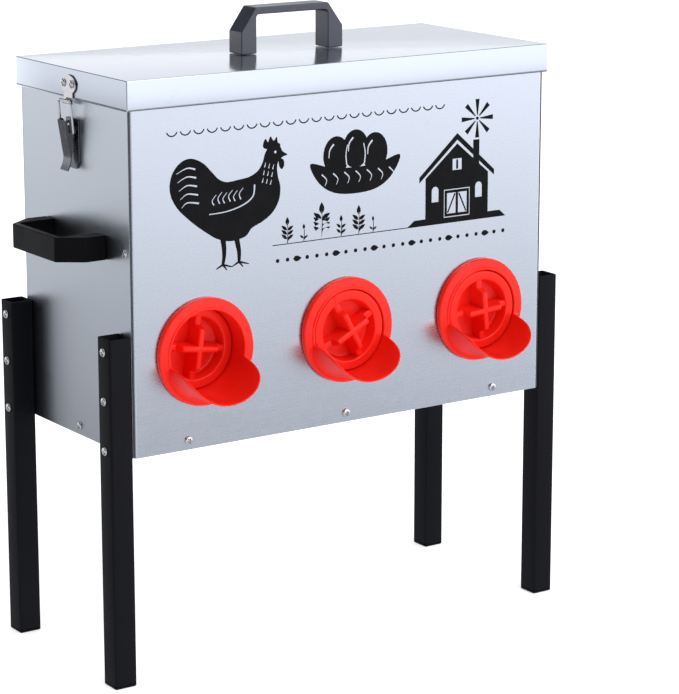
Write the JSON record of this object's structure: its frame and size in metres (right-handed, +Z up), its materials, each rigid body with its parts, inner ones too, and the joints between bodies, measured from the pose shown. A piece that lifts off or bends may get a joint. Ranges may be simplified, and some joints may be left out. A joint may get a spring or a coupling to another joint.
{
  "type": "port chicken feeder",
  "caption": "Sheet-metal poultry feed hopper on tube legs, with capped round feeding ports, scoops, carry handles and a lift-off lid held by toggle latches.",
  "frame": {"origin": "on the floor, under the middle of the feeder's bounding box", "axes": "+Z up; the ports face -Y; +X to the right of someone facing the ports"},
  "size_m": [0.6066, 0.283, 0.6663],
  "materials": {
    "galvanised_sheet": "satin galvanised, faint spangle",
    "black_coated_steel": "satin powder coat",
    "black_plastic": "satin moulded",
    "red_plastic": "glossy moulded",
    "bright_steel": "bright plated"
  },
  "bodies": {
    "hopper": {"front_panel": "galvanised_sheet", "back_panel": "galvanised_sheet", "left_side_panel": "galvanised_sheet", "right_side_panel": "galvanised_sheet", "floor_panel": "galvanised_sheet", "feed_chute": "galvanised_sheet", "left_handle": "black_plastic", "right_handle": "black_plastic", "left_front_leg": "black_coated_steel", "left_rear_leg": "black_coated_steel", "right_front_leg": "black_coated_steel", "right_rear_leg": "black_coated_steel", "left_front_foot": "black_plastic", "left_rear_foot": "black_plastic", "right_front_foot": "black_plastic", "right_rear_foot": "black_plastic", "left_port": "red_plastic", "middle_port": "red_plastic", "right_port": "red_plastic", "left_lock_ring": "red_plastic", "middle_lock_ring": "red_plastic", "right_lock_ring": "red_plastic", "left_latch_base": "bright_steel", "left_latch_pin": "bright_steel", "right_latch_base": "bright_steel", "right_latch_pin": "bright_steel", "left_front_leg_screw_1": "bright_steel", "left_front_leg_screw_2": "bright_steel", "left_front_leg_screw_3": "bright_steel", "left_rear_leg_screw_1": "bright_steel", "left_rear_leg_screw_2": "bright_steel", "left_rear_leg_screw_3": "bright_steel", "left_floor_screw": "bright_steel", "left_front_edge_screw": "bright_steel", "left_rear_edge_screw": "bright_steel", "right_front_leg_screw_1": "bright_steel", "right_front_leg_screw_2": "bright_steel", "right_front_leg_screw_3": "bright_steel", "right_rear_leg_screw_1": "bright_steel", "right_rear_leg_screw_2": "bright_steel", "right_rear_leg_screw_3": "bright_steel", "right_floor_screw": "bright_steel", "right_front_edge_screw": "bright_steel", "right_rear_edge_screw": "bright_steel", "front_screw_1": "bright_steel", "front_screw_2": "bright_steel", "front_screw_3": "bright_steel"},
    "lid": {"lid": "galvanised_sheet", "lid_handle": "black_plastic", "left_latch_catch": "bright_steel", "right_latch_catch": "bright_steel"},
    "left_lever": {"left_latch_lever": "bright_steel"},
    "left_bail": {"left_latch_bail": "bright_steel"},
    "right_lever": {"right_latch_lever": "bright_steel"},
    "right_bail": {"right_latch_bail": "bright_steel"},
    "left_cap": {"left_cap": "red_plastic"},
    "middle_cap": {"middle_cap": "red_plastic"},
    "right_cap": {"right_cap": "red_plastic"}
  },
  "joints": [
    {"name": "lid_lift", "type": "slide", "parent": "hopper", "child": "lid", "axis": [0, 0, 1], "range_m": [0, 0.15]},
    {"name": "left_latch_swing", "type": "hinge", "parent": "hopper", "child": "left_lever", "pos_m": [-0.2645, 0.0205, 0.5635], "axis": [0, 1, 0], "range_deg": [0, 140]},
    {"name": "left_bail_swing", "type": "hinge", "parent": "left_lever", "child": "left_bail", "pos_m": [-0.262, 0.0205, 0.554], "axis": [0, 1, 0], "range_deg": [-152, 0]},
    {"name": "right_latch_swing", "type": "hinge", "parent": "hopper", "child": "right_lever", "pos_m": [0.2645, 0.0205, 0.5635], "axis": [0, -1, 0], "range_deg": [0, 140]},
    {"name": "right_bail_swing", "type": "hinge", "parent": "right_lever", "child": "right_bail", "pos_m": [0.262, 0.0205, 0.554], "axis": [0, -1, 0], "range_deg": [-152, 0]},
    {"name": "left_cap_pull", "type": "slide", "parent": "hopper", "child": "left_cap", "axis": [0, -1, 0], "range_m": [0, 0.12]},
    {"name": "middle_cap_pull", "type": "slide", "parent": "hopper", "child": "middle_cap", "axis": [0, -1, 0], "range_m": [-0.0215, 0.1]},
    {"name": "right_cap_pull", "type": "slide", "parent": "hopper", "child": "right_cap", "axis": [0, -1, 0], "range_m": [-0.0215, 0.1]}
  ],
  "couplings": [
    {"joint": "left_bail_swing", "follows": "left_latch_swing", "ratio": -1.08},
    {"joint": "right_bail_swing", "follows": "right_latch_swing", "ratio": -1.08}
  ]
}
